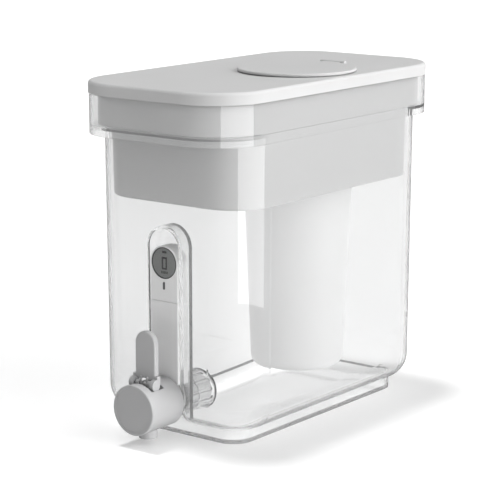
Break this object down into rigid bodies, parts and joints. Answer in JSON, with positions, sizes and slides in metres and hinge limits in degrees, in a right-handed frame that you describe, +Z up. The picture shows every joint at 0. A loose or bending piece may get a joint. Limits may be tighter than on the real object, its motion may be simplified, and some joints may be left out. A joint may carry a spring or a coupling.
{
  "type": "gravity water filter dispenser",
  "caption": "Clear tank dispenser with lift-out grey reservoir, hanging filter cartridge, lever tap, filter meter and lid with a hinged fill flap.",
  "frame": {"origin": "middle of the tank's flat foot, on the worktop", "axes": "+Z up, -Y towards the tap and the user, +X to the right of a person who faces the tap"},
  "size_m": [0.166, 0.328, 0.2944],
  "materials": {
    "tank_clear": "clear, polished",
    "nut_clear": "clear, polished",
    "reservoir_grey": "smooth",
    "lid_grey": "fine matt",
    "tap_grey": "satin",
    "lever_grey": "satin",
    "dark_plastic": "smooth",
    "rubber_dark": "matt",
    "rubber_pale": "matt",
    "steel": "bright",
    "filter_white": "satin",
    "bed_resin": "granular",
    "bed_carbon": "granular",
    "screen_white": "woven",
    "board_green": "satin",
    "display_grey": "smooth",
    "lens_clear": "clear",
    "wire_black": "matt"
  },
  "bodies": {
    "tank": {"tank": "tank_clear", "column_cover": "tap_grey", "sensor_lead": "wire_black", "probe_pins": "steel", "tap_body": "tap_grey", "tap_front_cap": "tap_grey", "valve_bonnet": "tap_grey", "stem_packing": "rubber_dark", "lever_pins": "steel", "tap_nut": "nut_clear", "nut_ring": "rubber_dark", "outer_gasket": "rubber_dark", "inner_gasket": "rubber_dark"},
    "valve": {"valve_stem": "filter_white", "valve_seal": "rubber_dark", "return_spring": "steel"},
    "lever": {"lever": "lever_grey"},
    "meter": {"meter_housing": "tap_grey", "meter_back_cover": "tap_grey", "meter_screws": "steel", "display_bezel": "dark_plastic", "display_panel": "display_grey", "display_lens": "lens_clear", "circuit_board": "board_green", "button_cells": "steel"},
    "read_button": {"read_button": "dark_plastic"},
    "reservoir": {"reservoir": "reservoir_grey"},
    "filter": {"filter_shell": "filter_white", "filter_cap": "filter_white", "filter_seal": "rubber_pale", "resin_bed": "bed_resin", "carbon_bed": "bed_carbon", "bottom_screen": "screen_white", "middle_screen": "screen_white", "top_screen": "screen_white", "filter_outlet": "filter_white"},
    "lid": {"lid": "lid_grey", "flap_pin": "steel"},
    "flap": {"flap": "lid_grey"}
  },
  "joints": [
    {"name": "reservoir_lift", "type": "slide", "parent": "tank", "child": "reservoir", "axis": [0, 0, 1], "range_m": [0, 0.3]},
    {"name": "lid_lift", "type": "slide", "parent": "reservoir", "child": "lid", "axis": [0, 0, 1], "range_m": [0, 0.15]},
    {"name": "flap_hinge", "type": "hinge", "parent": "lid", "child": "flap", "pos_m": [0.026, 0.065, 0.2924], "axis": [-1, 0, 0], "range_deg": [0, 110]},
    {"name": "filter_twist", "type": "hinge", "parent": "reservoir", "child": "filter", "pos_m": [0, 0.05, 0.194], "axis": [0, 0, 1], "range_deg": [-60, 0]},
    {"name": "lever_hinge", "type": "hinge", "parent": "tank", "child": "lever", "pos_m": [0, -0.1575, 0.0518], "axis": [1, 0, 0], "range_deg": [0, 50], "stiffness_Nm_per_rad": 0.12, "springref_deg": -28.65},
    {"name": "valve_lift", "type": "slide", "parent": "tank", "child": "valve", "axis": [0, 0, 1], "range_m": [0, 0.0034], "deforming": ["return_spring"]},
    {"name": "meter_slide", "type": "slide", "parent": "tank", "child": "meter", "axis": [0, 0, 1], "range_m": [0, 0.012]},
    {"name": "button_press", "type": "slide", "parent": "meter", "child": "read_button", "axis": [0, 1, 0], "range_m": [0, 0.0005], "stiffness_N_per_m": 200, "springref_m": -0.001}
  ],
  "couplings": [
    {"joint": "valve_lift", "follows": "lever_hinge", "m_per_rad": 0.0038}
  ]
}
